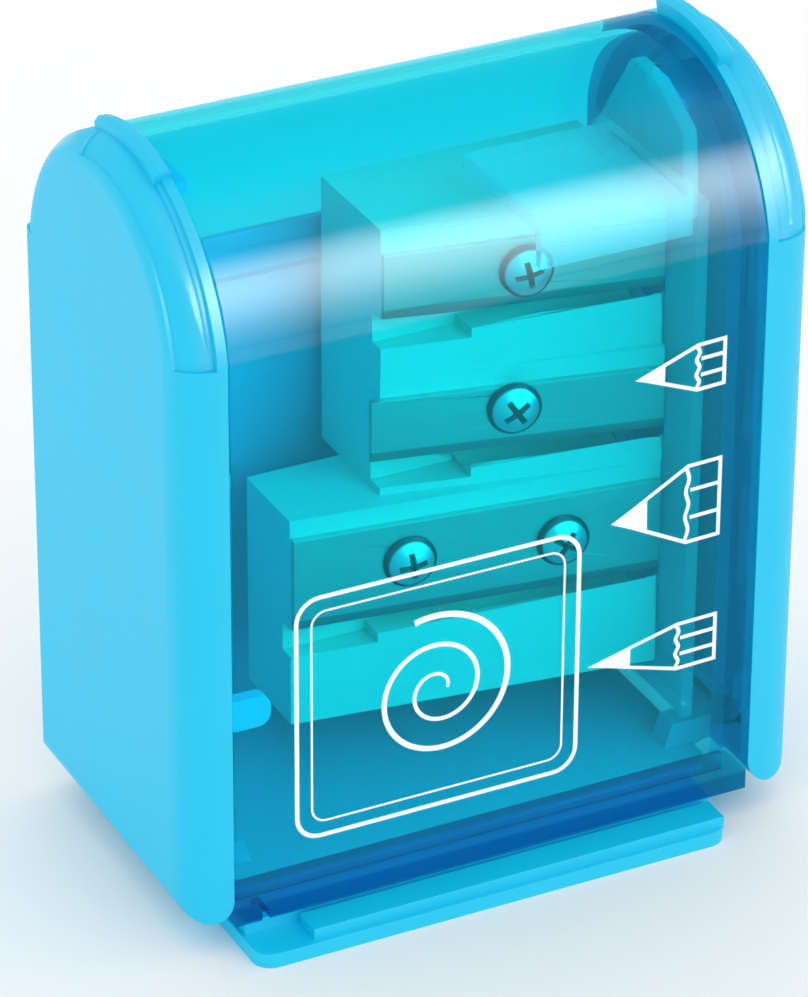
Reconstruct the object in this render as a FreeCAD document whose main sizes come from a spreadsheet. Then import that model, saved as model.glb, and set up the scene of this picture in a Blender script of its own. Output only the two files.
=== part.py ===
"""A three-hole pencil sharpener with a see-through shavings bin, built as a parametric document.

Frame: millimetres, +Z up, the table at Z = 0, +X towards the door that uncovers the pencil holes and
-Y towards the window. The origin is on the underside of the base plate, below the middle of the bin.
"""
import FreeCAD
import Part

import math
import os

import Sketcher

# ---------------------------------------------------------------- driving dimensions

SIZES = {
    # how far a pad sinks into the solid it joins, and how far a cut runs past the solid's face
    "overlap": 0.2,
    "past": 1.0,
    # bin: a tunnel along X with a flat front and back and an arched roof
    "half_width": 25.0,
    "half_depth": 16.0,
    "wall": 1.6,
    "half_wall": 0.8,
    "bin_floor": 2.6,
    "crease": 57.5,
    "inner_crease": 57.33,
    "arch_radius": 16.35,
    "arch_centre": 54.14,
    "seam": 50.5,
    "seam_gap": 0.1,
    "flange_depth": 4.0,
    "flange_thick": 1.6,
    "foot_depth": 4.6,
    "foot_gap": 0.05,
    "opening_radius": 12.0005,
    "slot_inset": 1.1,
    "slot_width": 0.6,
    "slot_floor": 1.1,
    "notch_left": 22.5,
    "notch_width": 0.7,
    "notch_height": 0.9,
    # opaque back wall
    "lap_height": 2.0,
    "lap_thick": 0.9,
    "boss_radius": 3.0,
    # base plate with its front lip
    "plate_left": 24.4,
    "plate_right": 21.5,
    "plate_thick": 1.4,
    "lip_front": 19.5,
    "lip_round": 1.8,
    "bar_left": 19.0,
    "bar_front": 18.9,
    "bar_back": 16.1,
    "bar_height": 1.0,
    "tray_front": 11.2,
    "tray_back": 14.2,
    "tray_right": 23.2,
    "tray_inset": 0.2,
    "bar_inset": 0.3,
    "step_inset": 0.4,
    "arm_root": 3.0,
    "arm_up": 1.0,
    "arm_neck": 1.2,
    # doors
    "door_inner": 25.15,
    "left_outer": 29.3,
    "right_outer": 30.4,
    "door_bottom": 3.3,
    "door_round": 4.0,
    "door_back_round": 0.8,
    "door_skin": 1.5,
    "door_step": 1.3,
    "door_core": 3.2,
    "left_hinge": 27.225,
    "right_hinge": 27.775,
    "left_hinge_round": 2.0755,
    "right_hinge_round": 2.6255,
    "hinge_up": 5.375,
    "pin_radius": 0.6,
    "pin_front": 14.0,
    "pin_play": 0.05,
    "knuckle_radius": 1.2,
    "knuckle_near": 6.8,
    "knuckle_width": 2.4,
    "knuckle_play": 0.15,
    "tab_thick": 1.6,
    "left_tab_rise": 0.9,
    "right_tab_rise": 1.5,
    "tab_bevel": 0.45,
    "tab_root": 0.7,
    "rim_round": 2.8,
    "rim_shift": 0.8,
    "rim_drop": 0.3,
    "scoop_edge": 14.1,
    "scoop_shift": 0.4,
    "scoop_round": 3.2,
    "scoop_lip": 0.6,
    "scoop_inner": 0.9,
    "scoop_step": 0.5,
    "left_latch_top": 67.5,
    "right_latch_top": 65.2,
    "left_latch_reach": 22.6,
    "right_latch_reach": 23.7,
    "latch_half": 3.0,
    "latch_thick": 1.2,
    "skin_overlap": 0.3,
    "tongue_reach": 20.0,
    "tongue_up": 23.0,
    "tongue_down": 20.0,
    "tongue_round": 1.2,
    "tongue_thick": 1.2,
    "left_tongue_front": 12.6,
    "right_tongue_front": 11.4,
    # sharpener block
    "block_right": 22.0,
    "block_low_left": 12.0,
    "block_high_left": 3.0,
    "block_bottom": 10.4,
    "block_step": 31.0,
    "block_split": 42.4,
    "block_top": 56.8,
    "block_low_back": 9.0,
    "block_high_back": 12.5,
    "lead_in": 0.25,
    "hole_play": 0.1,
    "mouth_left": 8.0,
    "mouth_height": 2.8,
    "slot_high_end": 1.9,
    "slot_low_end": 1.0,
    "slot_right": 1.0,
    "slot_depth": 3.3,
    # blades and screws
    "blade_thick": 0.7,
    "blade_inset": 0.25,
    "grind_height": 1.1,
    "grind_depth": 0.55,
    "screw_radius": 1.2,
    "screw_length": 4.6,
    "head_radius": 2.45,
    "head_height": 1.3,
    "dome_radius": 3.4,
    "back_screw_length": 9.0,
    "recess_long": 2.6,
    "recess_wide": 0.55,
    "recess_deep": 0.8,
    # clear inner frame
    "frame_left": 22.1,
    "frame_thick": 1.2,
    "frame_front": 9.0,
    "frame_back": 13.2,
    "frame_bottom": 6.8,
    "frame_top": 58.3,
    "frame_top_back": 9.7,
    "frame_lap_gap": 1.5,
    "frame_shoulder": 0.5,
    "upright_left": 20.4,
    "upright_thick": 1.4,
    "upright_bottom": 57.1,
    "upright_front": 9.5,
    "upright_back": 8.3,
    "shelf_left": 6.0,
    "shelf_top": 61.0,
    "shelf_thick": 1.4,
    "shelf_front": 11.0,
    "shelf_back": 3.5,
    "apron_bottom": 56.5,
    "apron_thick": 1.0,
}

# name, pencil radius, height of the cutting edge, blade length and height, front face at the right
# end and at the left end, screws as (distance from the right end, height above the edge)
STATIONS = [
    ("standard", 4.0, 48.2, 25.2, 6.4, -4.4, 0.2, [(12.55, 3.4)]),
    ("jumbo", 6.0, 34.5, 26.4, 6.1, -5.0, 0.5, [(13.65, 4.0)]),
    ("long_point", 4.0, 20.1, 34.0, 9.2, -4.85, -0.4, [(9.2, 4.9), (23.4, 5.4)]),
]

doc = FreeCAD.newDocument("three_hole_sharpener")
dims = doc.addObject("Spreadsheet::Sheet", "dims")
for row, (alias, size) in enumerate(SIZES.items(), start=1):
    dims.set(f"A{row}", alias)
    dims.set(f"B{row}", str(size))
    dims.setAlias(f"B{row}", alias)
doc.recompute()

# ---------------------------------------------------------------- helpers


def amount(formula):
    """Value in mm of a sum such as 'half_width - wall', made of the sheet's words and numbers."""
    total = 0.0
    sign = 1.0
    for word in formula.split():
        if word in ("+", "-"):
            sign = -1.0 if word == "-" else 1.0
        else:
            total += sign * (SIZES[word] if word in SIZES else float(word))
            sign = 1.0
    return total


def bound(formula):
    """The same sum as an expression on the sheet's cells."""
    return " ".join("dims." + word if word in SIZES else word for word in formula.split())


def plain(value):
    """A computed length as a word that amount() and bound() accept."""
    return f"{'- ' if value < 0 else ''}{abs(value):.4f}"


def flipped(formula, hand):
    """The sum itself for hand +1, its negative for hand -1."""
    if hand > 0:
        return formula
    words = formula.split()
    if words[0] not in ("+", "-"):
        words.insert(0, "+")
    swap = {"+": "-", "-": "+"}
    return " ".join(swap.get(word, word) for word in words).removeprefix("+ ")


def new_body(label):
    """An empty body whose label names its file."""
    made = doc.addObject("PartDesign::Body", label)
    made.Label = label
    return made


def new_sketch(owner, name, role, offset="0"):
    """A sketch on one of the body's own origin planes, moved along the plane's normal."""
    plane = next(item for item in owner.Origin.OriginFeatures if item.Role == role)
    made = owner.newObject("Sketcher::SketchObject", name)
    made.AttachmentSupport = [(plane, "")]
    made.MapMode = "FlatFace"
    made.setExpression("AttachmentOffset.Base.z", bound(offset))
    return made


def pin_point(sketch, edge, which, across, up):
    """Ties one point of an edge to its distances from the sketch's origin."""
    for kind, formula in (("DistanceX", across), ("DistanceY", up)):
        number = sketch.addConstraint(
            Sketcher.Constraint(kind, -1, 1, edge, which, amount(formula))
        )
        sketch.setExpression(f"Constraints[{number}]", bound(formula))


def tie_radius(sketch, edge, radius):
    """Ties the radius of an arc or circle to a sum of cells."""
    number = sketch.addConstraint(Sketcher.Constraint("Radius", edge, amount(radius)))
    sketch.setExpression(f"Constraints[{number}]", bound(radius))


def outline(sketch, corners, arcs=None, hand=1):
    """A closed outline through corners given as pairs of sums.

    arcs maps an edge's number to (radius, side): side +1 has the arc's centre on the left of the
    way from corner to corner, -1 on its right. hand -1 mirrors the outline across the sketch's
    vertical axis.
    """
    arcs = arcs or {}
    ties = [(flipped(across, hand), up) for across, up in corners]
    points = [FreeCAD.Vector(amount(across), amount(up), 0) for across, up in ties]
    ends = []
    for number, start in enumerate(points):
        finish = points[(number + 1) % len(points)]
        if number not in arcs:
            edge = sketch.addGeometry(Part.LineSegment(start, finish), False)
            ends.append((edge, 1, 2))
            continue
        radius, side = arcs[number]
        side *= hand
        reach = amount(radius)
        chord = finish - start
        left = FreeCAD.Vector(-chord.y, chord.x, 0).normalize()
        rise = math.sqrt(max(reach**2 - (chord.Length / 2) ** 2, 0.0))
        centre = (start + finish) * 0.5 + left * (side * rise)
        first, last = (start, finish) if side > 0 else (finish, start)
        from_angle = math.atan2(first.y - centre.y, first.x - centre.x)
        to_angle = math.atan2(last.y - centre.y, last.x - centre.x)
        circle = Part.Circle(centre, FreeCAD.Vector(0, 0, 1), reach)
        edge = sketch.addGeometry(Part.ArcOfCircle(circle, from_angle, to_angle), False)
        tie_radius(sketch, edge, radius)
        ends.append((edge, 1, 2) if side > 0 else (edge, 2, 1))
    for number, (edge, start_point, end_point) in enumerate(ends):
        after, after_start, _ = ends[(number + 1) % len(ends)]
        sketch.addConstraint(
            Sketcher.Constraint("Coincident", edge, end_point, after, after_start)
        )
        pin_point(sketch, edge, start_point, *ties[number])


def rectangle(sketch, low, high, hand=1):
    """An upright rectangle between two corners."""
    corners = [low, (high[0], low[1]), high, (low[0], high[1])]
    outline(sketch, corners, hand=hand)


def ring(sketch, across, up, radius):
    """A full circle."""
    centre = FreeCAD.Vector(amount(across), amount(up), 0)
    circle = Part.Circle(centre, FreeCAD.Vector(0, 0, 1), amount(radius))
    edge = sketch.addGeometry(circle, False)
    tie_radius(sketch, edge, radius)
    pin_point(sketch, edge, 3, across, up)


def pad(owner, sketch, length, reverse=False):
    """Adds material from the sketch along its normal."""
    made = owner.newObject("PartDesign::Pad", sketch.Name + "_pad")
    made.Profile = sketch
    made.setExpression("Length", bound(length))
    made.Reversed = reverse
    finish_feature(owner, made, 1)


def pocket(owner, sketch, length, reverse=False):
    """Cuts from the sketch against its normal, or along it when reversed."""
    made = owner.newObject("PartDesign::Pocket", sketch.Name + "_pocket")
    made.Profile = sketch
    made.setExpression("Length", bound(length))
    made.Reversed = reverse
    finish_feature(owner, made, -1)


def turn(owner, sketch, kind, angle, symmetric=True):
    """Turns the sketch about its own horizontal axis, adding (Revolution) or cutting (Groove)."""
    made = owner.newObject("PartDesign::" + kind, sketch.Name + "_" + kind.lower())
    made.Profile = sketch
    made.ReferenceAxis = (sketch, ["H_Axis"])
    made.Angle = angle
    made.Midplane = symmetric
    finish_feature(owner, made, 1 if kind == "Revolution" else -1)


def finish_feature(owner, made, growth):
    """Recomputes and stops if the feature failed or left the volume as it was."""
    before = volumes.get(owner.Name, 0.0)
    doc.recompute()
    if "Invalid" in made.State or made.Shape.isNull():
        raise RuntimeError(f"{made.Name} failed")
    after = owner.Shape.Volume
    if (after - before) * growth <= 1e-4:
        raise RuntimeError(f"{made.Name} changed nothing: {before:.3f} to {after:.3f}")
    volumes[owner.Name] = after


def aim(sketch, base, axis=(1, 0, 0), degrees=0):
    """Moves a sketch's origin in its plane's own directions, then turns it about an axis there."""
    turned = FreeCAD.Rotation(FreeCAD.Vector(*axis), degrees)
    middle = FreeCAD.Vector(*(amount(formula) for formula in base))
    sketch.AttachmentOffset = FreeCAD.Placement(middle, turned)
    for letter, formula in zip("xyz", base):
        sketch.setExpression("AttachmentOffset.Base." + letter, bound(formula))


volumes = {}

# ---------------------------------------------------------------- clear window and roof

# lowest and highest point of each slot in the flange's end face
FLANGE_SLOTS = [("9.8", "14"), ("23.2", "33.1"), ("37.7", "44.3"), ("50.4", "56.8")]


def make_clear_window():
    """Front wall, arched roof and the top of the back in one clear moulding, open at the left."""
    owner = new_body("clear_window")
    section = new_sketch(owner, "window_section", "YZ_Plane", "- half_width")
    outline(
        section,
        [
            ("- half_depth", "bin_floor + foot_gap"),
            ("- half_depth", "crease"),
            ("half_depth", "crease"),
            ("half_depth", "seam"),
            ("half_depth - wall", "seam"),
            ("half_depth - wall", "inner_crease"),
            ("wall - half_depth", "inner_crease"),
            ("wall - half_depth", "bin_floor + wall"),
            ("foot_depth - half_depth", "bin_floor + wall"),
            ("foot_depth - half_depth", "bin_floor + foot_gap"),
        ],
        {1: ("arch_radius", -1), 5: ("arch_radius - wall", 1)},
    )
    pad(owner, section, "half_width + half_width")

    flange = new_sketch(owner, "window_flange", "YZ_Plane", "half_width")
    outline(
        flange,
        [
            ("half_wall - half_depth", "bin_floor + half_wall"),
            ("half_wall - half_depth", "inner_crease"),
            ("half_depth - half_wall", "inner_crease"),
            ("half_depth - half_wall", "seam"),
            ("half_depth - flange_depth", "seam"),
            ("half_depth - flange_depth", "arch_centre"),
            ("flange_depth - half_depth", "arch_centre"),
            ("flange_depth - half_depth", "bin_floor + half_wall"),
        ],
        {1: ("arch_radius - half_wall", -1), 5: ("opening_radius", 1)},
    )
    pad(owner, flange, "flange_thick", reverse=True)

    slots = new_sketch(owner, "window_slots", "YZ_Plane", "half_width")
    for low, high in FLANGE_SLOTS:
        near = "slot_inset - half_depth"
        rectangle(slots, (near, low), (near + " + slot_width", high))
    pocket(owner, slots, "slot_floor")

    notch = new_sketch(owner, "window_notch", "XZ_Plane", "half_depth")
    rectangle(
        notch,
        ("- notch_left", "bin_floor - past"),
        ("notch_width - notch_left", "bin_floor + notch_height"),
    )
    pocket(owner, notch, "wall + past")


# ---------------------------------------------------------------- opaque back wall

# screws that hold the block: across, up, where the block's back is
BLOCK_SCREWS = [("9.5", "46.5", "block_high_back"), ("2", "20.5", "block_low_back")]


def make_back_wall():
    """Back wall with a lap under the roof's edge, an end rib and two screw bosses."""
    owner = new_body("back_wall")
    section = new_sketch(owner, "back_section", "YZ_Plane", "- half_width")
    outline(
        section,
        [
            ("half_depth - wall", "bin_floor"),
            ("half_depth", "bin_floor"),
            ("half_depth", "seam - seam_gap"),
            ("half_depth - wall - seam_gap", "seam - seam_gap"),
            ("half_depth - wall - seam_gap", "seam + lap_height"),
            ("half_depth - wall - lap_thick", "seam + lap_height"),
            ("half_depth - wall - lap_thick", "seam - lap_height"),
            ("half_depth - wall", "seam - lap_height - 1"),
        ],
    )
    pad(owner, section, "half_width + half_width - flange_thick")

    end_rib = new_sketch(owner, "back_end_rib", "YZ_Plane", "half_width")
    rectangle(end_rib, ("half_depth - flange_depth", "bin_floor"), ("half_depth", "seam - seam_gap"))
    pad(owner, end_rib, "flange_thick", reverse=True)

    for number, (across, up, block_back) in enumerate(BLOCK_SCREWS):
        boss = new_sketch(owner, f"back_boss_{number}", "XZ_Plane", "half_wall - half_depth")
        ring(boss, across, up, "boss_radius")
        pad(owner, boss, f"half_depth - half_wall - {block_back}")
        bore = new_sketch(owner, f"back_bore_{number}", "XZ_Plane", "- half_depth")
        ring(bore, across, up, "screw_radius + hole_play")
        pocket(owner, bore, f"half_depth - {block_back}", reverse=True)
        sink = new_sketch(owner, f"back_sink_{number}", "XZ_Plane", "- half_depth")
        ring(sink, across, up, "head_radius + hole_play")
        pocket(owner, sink, "head_height", reverse=True)


# ---------------------------------------------------------------- base plate

# the front face of each pair of hinge arms
KNUCKLE_BACKS = ("knuckle_near", "- knuckle_near - knuckle_width")


def make_base_plate():
    """Foot plate with its front lip and bar, the tray that floors the bin and four hinge arms."""
    owner = new_body("base_plate")
    foot = new_sketch(owner, "base_foot", "XY_Plane")
    outline(
        foot,
        [
            ("- plate_left", "half_depth"),
            ("- plate_left", "lip_round - lip_front"),
            ("lip_round - plate_left", "- lip_front"),
            ("plate_right - lip_round", "- lip_front"),
            ("plate_right", "lip_round - lip_front"),
            ("plate_right", "half_depth"),
        ],
        {1: ("lip_round", 1), 3: ("lip_round", 1)},
    )
    pad(owner, foot, "plate_thick")

    bar = new_sketch(owner, "base_bar", "XY_Plane", "plate_thick - overlap")
    rectangle(bar, ("- bar_left", "- bar_front"), ("plate_right - bar_inset", "- bar_back"))
    pad(owner, bar, "bar_height + overlap")

    step = new_sketch(owner, "base_step", "XY_Plane", "plate_thick - overlap")
    rectangle(step, ("step_inset - plate_left", "step_inset - half_depth"), ("plate_right", "half_depth"))
    pad(owner, step, "bin_floor - plate_thick + overlap")

    tray = new_sketch(owner, "base_tray", "XY_Plane", "bin_floor - overlap")
    rectangle(tray, ("tray_inset - half_width", "- tray_front"), ("tray_right", "tray_back"))
    pad(owner, tray, "wall + overlap")

    for number, back in enumerate(KNUCKLE_BACKS):
        arms = new_sketch(owner, f"base_arms_{number}", "XZ_Plane", flipped(back, -1))
        for side, hand in (("right", 1), ("left", -1)):
            outline(
                arms,
                [
                    ("tray_right - arm_root", "bin_floor + arm_up"),
                    ("tray_right - overlap", "bin_floor + arm_up"),
                    ("tray_right + arm_neck", "hinge_up - knuckle_radius"),
                    (f"{side}_hinge", "hinge_up - knuckle_radius"),
                    (f"{side}_hinge", "hinge_up + knuckle_radius"),
                    ("tray_right - 2", "hinge_up + knuckle_radius"),
                ],
                {3: ("knuckle_radius + 0.0005", 1)},
                hand=hand,
            )
            ring(arms, flipped(f"{side}_hinge", hand), "hinge_up", "pin_radius + pin_play")
        pad(owner, arms, "knuckle_width", reverse=True)


# ---------------------------------------------------------------- doors


def make_door(side, hand, tab_centre, tab_half, tongues):
    """A cap that hinges at its bottom edge; hand +1 is the right door, -1 the left."""
    label = side + "_door"
    outer = side + "_outer"
    hinge = side + "_hinge"
    owner = new_body(label)
    plan = new_sketch(owner, label + "_plan", "XY_Plane", "door_bottom - past")
    outline(
        plan,
        [
            ("door_inner", "- half_depth"),
            (f"{outer} - door_round", "- half_depth"),
            (outer, "door_round - half_depth"),
            (outer, "half_depth - door_back_round"),
            (f"{outer} - door_back_round", "half_depth"),
            ("door_inner", "half_depth"),
        ],
        {1: ("door_round", 1), 3: ("door_back_round", 1)},
        hand=hand,
    )
    pad(owner, plan, "crease + half_depth")

    inner = flipped("door_inner", hand)
    above = new_sketch(owner, label + "_above", "YZ_Plane", inner)
    outline(
        above,
        [
            ("- half_depth - past", "crease"),
            ("- half_depth", "crease"),
            ("half_depth", "crease"),
            ("half_depth + past", "crease"),
            ("half_depth + past", "crease + half_depth + half_depth"),
            ("- half_depth - past", "crease + half_depth + half_depth"),
        ],
        {1: ("arch_radius", -1)},
    )
    pocket(owner, above, f"{outer} - door_inner + past", reverse=hand > 0)

    below = new_sketch(owner, label + "_below", "XZ_Plane", "- half_depth")
    outline(
        below,
        [
            ("door_inner - past", "hinge_up"),
            ("door_inner", "hinge_up"),
            (outer, "hinge_up"),
            (f"{outer} + past", "hinge_up"),
            (f"{outer} + past", "door_bottom - past - past"),
            ("door_inner - past", "door_bottom - past - past"),
        ],
        {1: (f"{side}_hinge_round", 1)},
        hand=hand,
    )
    pocket(owner, below, "half_depth + half_depth", reverse=True)

    for inset, step in (("wall", " - door_step"), ("door_core", "")):
        hollow = new_sketch(owner, f"{label}_{inset}_hollow", "YZ_Plane", inner)
        outline(
            hollow,
            [
                (f"{inset} - half_depth", f"hinge_up + {inset} - wall"),
                (f"half_depth - {inset}", f"hinge_up + {inset} - wall"),
                (f"half_depth - {inset}", "inner_crease"),
                (f"{inset} - half_depth", "inner_crease"),
            ],
            {2: (f"arch_radius - {inset}", 1)},
        )
        pocket(owner, hollow, f"{outer} - door_inner - door_skin{step}", reverse=hand > 0)

    for number, back in enumerate(KNUCKLE_BACKS):
        far = flipped(back + " - knuckle_play", -1)
        gap = new_sketch(owner, f"{label}_gap_{number}", "XZ_Plane", far)
        rectangle(
            gap,
            ("door_inner - past", "door_bottom - past - past"),
            (
                f"{hinge} + knuckle_radius + knuckle_play",
                "hinge_up + knuckle_radius + knuckle_play",
            ),
            hand=hand,
        )
        pocket(owner, gap, "knuckle_width + knuckle_play + knuckle_play")

    pin_hole = new_sketch(owner, label + "_pin_hole", "XZ_Plane", "- half_depth")
    ring(pin_hole, flipped(hinge, hand), "hinge_up", "pin_radius")
    pocket(owner, pin_hole, "half_depth + pin_front", reverse=True)

    rim = new_sketch(owner, label + "_rim", "XZ_Plane")
    outline(
        rim,
        [
            (f"{outer} + past", "arch_radius - rim_round"),
            (outer, "arch_radius - rim_round"),
            (f"{outer} - rim_round", "arch_radius"),
            (f"{outer} - rim_round", "arch_radius + past"),
            (f"{outer} + past", "arch_radius + past"),
        ],
        {1: ("rim_round", 1)},
        hand=hand,
    )
    aim(rim, ("0", "arch_centre - rim_drop", "- rim_shift"), degrees=RIM_CENTRE)
    turn(owner, rim, "Groove", RIM_ANGLE)

    scoop = new_sketch(owner, label + "_scoop", "XZ_Plane")
    outline(
        scoop,
        [
            (f"{outer} + past", "scoop_edge"),
            (f"{outer} - scoop_lip", "scoop_edge"),
            ("door_inner + scoop_inner", "arch_radius - scoop_step"),
            ("door_inner + scoop_inner", "arch_radius + past"),
            (f"{outer} + past", "arch_radius + past"),
        ],
        {1: ("scoop_round", 1)},
        hand=hand,
    )
    aim(scoop, ("0", "arch_centre + scoop_shift", "- scoop_shift"), degrees=SCOOP_CENTRE)
    turn(owner, scoop, "Groove", SCOOP_ANGLE)

    tab = new_sketch(owner, label + "_tab", "XZ_Plane")
    rise = f"arch_radius + {side}_tab_rise"
    outline(
        tab,
        [
            ("door_inner", "arch_radius - tab_root"),
            ("door_inner + tab_thick", "arch_radius - tab_root"),
            ("door_inner + tab_thick", f"{rise} - tab_bevel"),
            ("door_inner + tab_thick - tab_bevel", rise),
            ("door_inner + tab_bevel", rise),
            ("door_inner", f"{rise} - tab_bevel"),
        ],
        hand=hand,
    )
    aim(tab, ("0", "arch_centre", "0"), degrees=tab_centre)
    turn(owner, tab, "Revolution", tab_half + tab_half)

    latch = new_sketch(owner, label + "_latch", "XY_Plane", side + "_latch_top - latch_thick")
    rectangle(
        latch,
        (side + "_latch_reach", "- latch_half"),
        (f"{outer} - door_skin + skin_overlap", "latch_half"),
        hand=hand,
    )
    pad(owner, latch, "latch_thick")

    for number, ahead in enumerate(tongues):
        tongue = new_sketch(owner, f"{label}_tongue_{number}", "XZ_Plane", ahead)
        outline(
            tongue,
            [
                (f"{outer} - door_skin + skin_overlap", "tongue_down"),
                (f"{outer} - door_skin + skin_overlap", "tongue_up"),
                ("tongue_reach + tongue_round", "tongue_up"),
                ("tongue_reach", "tongue_up - tongue_round"),
                ("tongue_reach", "tongue_down + tongue_round"),
                ("tongue_reach + tongue_round", "tongue_down"),
            ],
            {2: ("tongue_round", 1), 4: ("tongue_round", 1)},
            hand=hand,
        )
        pad(owner, tongue, "tongue_thick", reverse=True)


# degrees from straight up, towards the window: the rounded rim runs from crease to crease, and the
# scoop from just below the front crease to just past the top
RIM_CENTRE = -2.0
RIM_ANGLE = 156.2
SCOOP_CENTRE = 32.7
SCOOP_ANGLE = 98.6

# how far each blade screw's cross recess has turned
SCREW_SPINS = (12, 35, 58, 8)


def make_hinge_pin(side, hand):
    """A plain steel pin along Y, driven in from the back."""
    label = side + "_hinge_pin"
    made = doc.addObject("Part::Cylinder", label)
    made.Label = label
    made.setExpression("Radius", "dims.pin_radius")
    made.setExpression("Height", bound("half_depth - half_wall + pin_front - 0.1"))
    base = FreeCAD.Vector(
        hand * amount(side + "_hinge"), amount("half_depth - half_wall"), amount("hinge_up")
    )
    turned = FreeCAD.Rotation(FreeCAD.Vector(1, 0, 0), 90)
    made.Placement = FreeCAD.Placement(base, turned)


# ---------------------------------------------------------------- sharpener block


def seat_line(station):
    """Plan position of the blade's back face at the right and the left end of the blade."""
    _, _, _, length, _, right, left, _ = station
    run = math.sqrt(length**2 - (left - right) ** 2)
    through = amount("blade_thick") * length / run
    return right + through, left + through, run


def seat_at(station, across):
    """Where the blade's seat is at a distance across, on its straight line in plan."""
    right, left, run = seat_line(station)
    return right + (left - right) * (amount("block_right - blade_inset") - across) / run


def cone_axis(station):
    """The pencil's axis: its radius behind the seat at the right end."""
    return seat_line(station)[0] + station[1]


def make_block():
    """One moulded block: a long low part and a shorter high part, with three conical bores."""
    owner = new_body("sharpener_block")
    standard, jumbo, long_point = STATIONS
    layers = [
        ("low", long_point, "block_low_left", "block_low_back", "block_bottom", "block_step"),
        ("mid", jumbo, "block_high_left", "block_high_back", "block_step", "block_split"),
        ("high", standard, "block_high_left", "block_high_back", "block_split", "block_top"),
    ]
    for name, station, left, back, bottom, top in layers:
        plan = new_sketch(owner, f"block_{name}", "XY_Plane", bottom)
        front_left = plain(seat_at(station, -amount(left)))
        front_right = plain(seat_at(station, amount("block_right")))
        outline(
            plan,
            [
                ("- " + left, front_left),
                ("block_right", front_right),
                ("block_right", back),
                ("- " + left, back),
            ],
        )
        pad(owner, plan, f"{top} - {bottom}")

    block_lefts = ("block_high_left", "block_high_left", "block_low_left")
    for station, block_left in zip(STATIONS, block_lefts):
        name, radius, edge_up, _, _, _, _, screws = station
        cone = new_sketch(owner, f"block_{name}_cone", "XY_Plane", str(edge_up))
        right, left, run = seat_line(station)
        tip = amount("block_right - lead_in") - radius * run / (left - right)
        outline(
            cone,
            [
                ("block_right + past", "0"),
                (plain(tip), "0"),
                ("block_right - lead_in", f"- {radius} - hole_play"),
                ("block_right + past", f"- {radius} - hole_play"),
            ],
        )
        aim(cone, ("0", plain(cone_axis(station)), str(edge_up)))
        turn(owner, cone, "Groove", 360, symmetric=False)

        slot = new_sketch(owner, f"block_{name}_slot", "XZ_Plane")
        aim(slot, ("0", str(edge_up), plain(amount("past") - station[5])))
        open_end = flipped(block_left, -1)
        outline(
            slot,
            [
                (open_end + " - past", "- mouth_height"),
                (open_end + " + mouth_left", "- mouth_height"),
                (open_end + " + mouth_left", "- slot_high_end"),
                ("block_right - slot_right", "- slot_low_end"),
                ("block_right - slot_right", "0"),
                (open_end + " - past", "0"),
            ],
        )
        pocket(owner, slot, f"{plain(station[6] - station[5])} + slot_depth")

        for number, (along, up) in enumerate(screws):
            hole = new_sketch(owner, f"block_{name}_hole_{number}", "XZ_Plane")
            base, degrees = on_blade(station, along, up)
            aim(hole, (plain(base.x), plain(base.z), plain(-base.y)), (0, 1, 0), degrees)
            ring(hole, "0", "0", "screw_radius")
            pocket(owner, hole, "screw_length")

    for number, (across, up, block_back) in enumerate(BLOCK_SCREWS):
        hole = new_sketch(owner, f"block_back_hole_{number}", "XZ_Plane", "- half_depth")
        ring(hole, across, up, "screw_radius")
        pocket(owner, hole, "head_height + back_screw_length", reverse=True)


def on_blade(station, along, up):
    """A point on a blade's front face, and the blade's turn about Z in degrees."""
    _, _, edge_up, length, _, right, left, _ = station
    degrees = blade_angle(length, right, left)
    back_along = FreeCAD.Rotation(FreeCAD.Vector(0, 0, 1), degrees).multVec(
        FreeCAD.Vector(-along, 0, 0)
    )
    base = FreeCAD.Vector(amount("block_right - blade_inset"), right, edge_up + up)
    return base + back_along, degrees


def make_screw(name, base, degrees, length, spin):
    """A domed head with a cross recess on a plain shank; degrees turns its axis about Z from -Y."""
    shank = doc.addObject("Part::Cylinder", name + "_shank")
    shank.setExpression("Radius", "dims.screw_radius")
    shank.setExpression("Height", "dims." + length)
    shank.Placement.Base = FreeCAD.Vector(0, 0, -amount(length))
    disc = doc.addObject("Part::Cylinder", name + "_disc")
    disc.setExpression("Radius", "dims.head_radius")
    disc.setExpression("Height", "dims.head_height")
    ball = doc.addObject("Part::Sphere", name + "_ball")
    ball.setExpression("Radius", "dims.dome_radius")
    ball.setExpression("Placement.Base.z", "dims.head_height - dims.dome_radius")
    head = doc.addObject("Part::MultiCommon", name + "_head")
    head.Shapes = [disc, ball]
    solid = doc.addObject("Part::MultiFuse", name + "_solid")
    solid.Shapes = [shank, head]
    for number in range(2):
        arm = doc.addObject("Part::Box", f"{name}_recess_{number}")
        long_way, wide_way = ("Length", "Width") if number else ("Width", "Length")
        arm.setExpression(long_way, "dims.recess_long")
        arm.setExpression(wide_way, "dims.recess_wide")
        arm.setExpression("Height", "dims.recess_deep + dims.overlap")
        arm.setExpression("Placement.Base.x", f"-{arm.Name}.Length / 2")
        arm.setExpression("Placement.Base.y", f"-{arm.Name}.Width / 2")
        arm.setExpression("Placement.Base.z", "dims.head_height - dims.recess_deep")
        cut = doc.addObject("Part::Cut", f"{name}_cut_{number}")
        cut.Base = solid
        cut.Tool = arm
        solid = cut
    about_z = FreeCAD.Rotation(FreeCAD.Vector(0, 0, 1), degrees)
    outwards = FreeCAD.Rotation(FreeCAD.Vector(1, 0, 0), 90)
    about_itself = FreeCAD.Rotation(FreeCAD.Vector(0, 0, 1), spin)
    solid.Placement = FreeCAD.Placement(base, about_z * outwards * about_itself)
    return solid


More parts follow.
